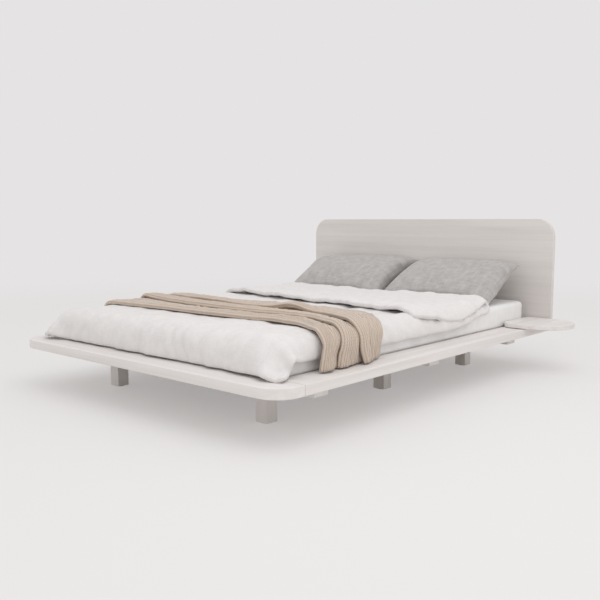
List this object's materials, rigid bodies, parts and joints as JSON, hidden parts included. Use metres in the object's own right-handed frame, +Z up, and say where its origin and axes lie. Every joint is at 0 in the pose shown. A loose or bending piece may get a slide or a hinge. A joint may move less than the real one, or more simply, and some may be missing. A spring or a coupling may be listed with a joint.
{
  "type": "double bed",
  "caption": "Low double bed with a flat plank rim, rounded headboard, plug-in bedside trays, mattress, duvet, throw and pillows.",
  "frame": {"origin": "on the floor, below the middle of the bed's outer box", "axes": "+X to the right seen from the foot, +Y from the foot to the headboard, +Z up"},
  "size_m": [2.04, 2.183, 0.79],
  "materials": {
    "whitewashed_wood": "matte",
    "raw_wood": "matte",
    "dowel_wood": "matte",
    "steel": "satin",
    "brass": "satin",
    "felt": "matte",
    "mattress_cover": "matte",
    "white_linen": "matte",
    "beige_knit": "matte",
    "grey_linen": "matte"
  },
  "bodies": {
    "bed_frame": {"foot_rail": "whitewashed_wood", "side_rail_left": "whitewashed_wood", "side_rail_right": "whitewashed_wood", "head_rail": "whitewashed_wood", "headboard": "whitewashed_wood", "cross_beam_foot": "whitewashed_wood", "cross_beam_middle": "whitewashed_wood", "cross_beam_head": "whitewashed_wood", "leg_foot_left": "whitewashed_wood", "leg_foot_right": "whitewashed_wood", "leg_middle_left": "whitewashed_wood", "leg_middle_right": "whitewashed_wood", "leg_head_left": "whitewashed_wood", "leg_head_right": "whitewashed_wood", "slat_ledger_left": "raw_wood", "slat_ledger_right": "raw_wood", "centre_rail": "raw_wood", "slat_01": "raw_wood", "slat_02": "raw_wood", "slat_03": "raw_wood", "slat_04": "raw_wood", "slat_05": "raw_wood", "slat_06": "raw_wood", "slat_07": "raw_wood", "slat_08": "raw_wood", "slat_09": "raw_wood", "slat_10": "raw_wood", "slat_11": "raw_wood", "slat_12": "raw_wood", "slat_13": "raw_wood", "slat_14": "raw_wood", "corner_dowels": "dowel_wood", "headboard_dowels": "dowel_wood", "foot_plate_left": "steel", "foot_plate_right": "steel", "head_plate_left": "steel", "head_plate_right": "steel", "plate_screws": "steel", "rail_bolts": "steel", "leg_bolts": "steel", "headboard_bolts": "steel", "slat_screws": "steel", "ledger_screws": "steel", "rail_inserts": "brass", "leg_inserts": "brass", "headboard_inserts": "brass", "leg_felt_pads": "felt"},
    "tray_left_body": {"tray_left": "whitewashed_wood", "tray_pins_left": "steel", "tray_rings_left": "felt"},
    "tray_right_body": {"tray_right": "whitewashed_wood", "tray_pins_right": "steel", "tray_rings_right": "felt"},
    "mattress_body": {"mattress": "mattress_cover", "duvet": "white_linen", "throw": "beige_knit"},
    "pillow_left_body": {"pillow_left": "grey_linen"},
    "pillow_right_body": {"pillow_right": "grey_linen"}
  },
  "joints": [
    {"name": "tray_left_lift", "type": "slide", "parent": "bed_frame", "child": "tray_left_body", "axis": [0, 0, 1], "range_m": [0, 0.03]},
    {"name": "tray_right_lift", "type": "slide", "parent": "bed_frame", "child": "tray_right_body", "axis": [0, 0, 1], "range_m": [0, 0.03]},
    {"name": "mattress_lift", "type": "slide", "parent": "bed_frame", "child": "mattress_body", "axis": [0, 0, 1], "range_m": [0, 0.15]},
    {"name": "pillow_left_lift", "type": "slide", "parent": "mattress_body", "child": "pillow_left_body", "axis": [0, 0, 1], "range_m": [0, 0.2]},
    {"name": "pillow_right_lift", "type": "slide", "parent": "mattress_body", "child": "pillow_right_body", "axis": [0, 0, 1], "range_m": [0, 0.2]}
  ]
}
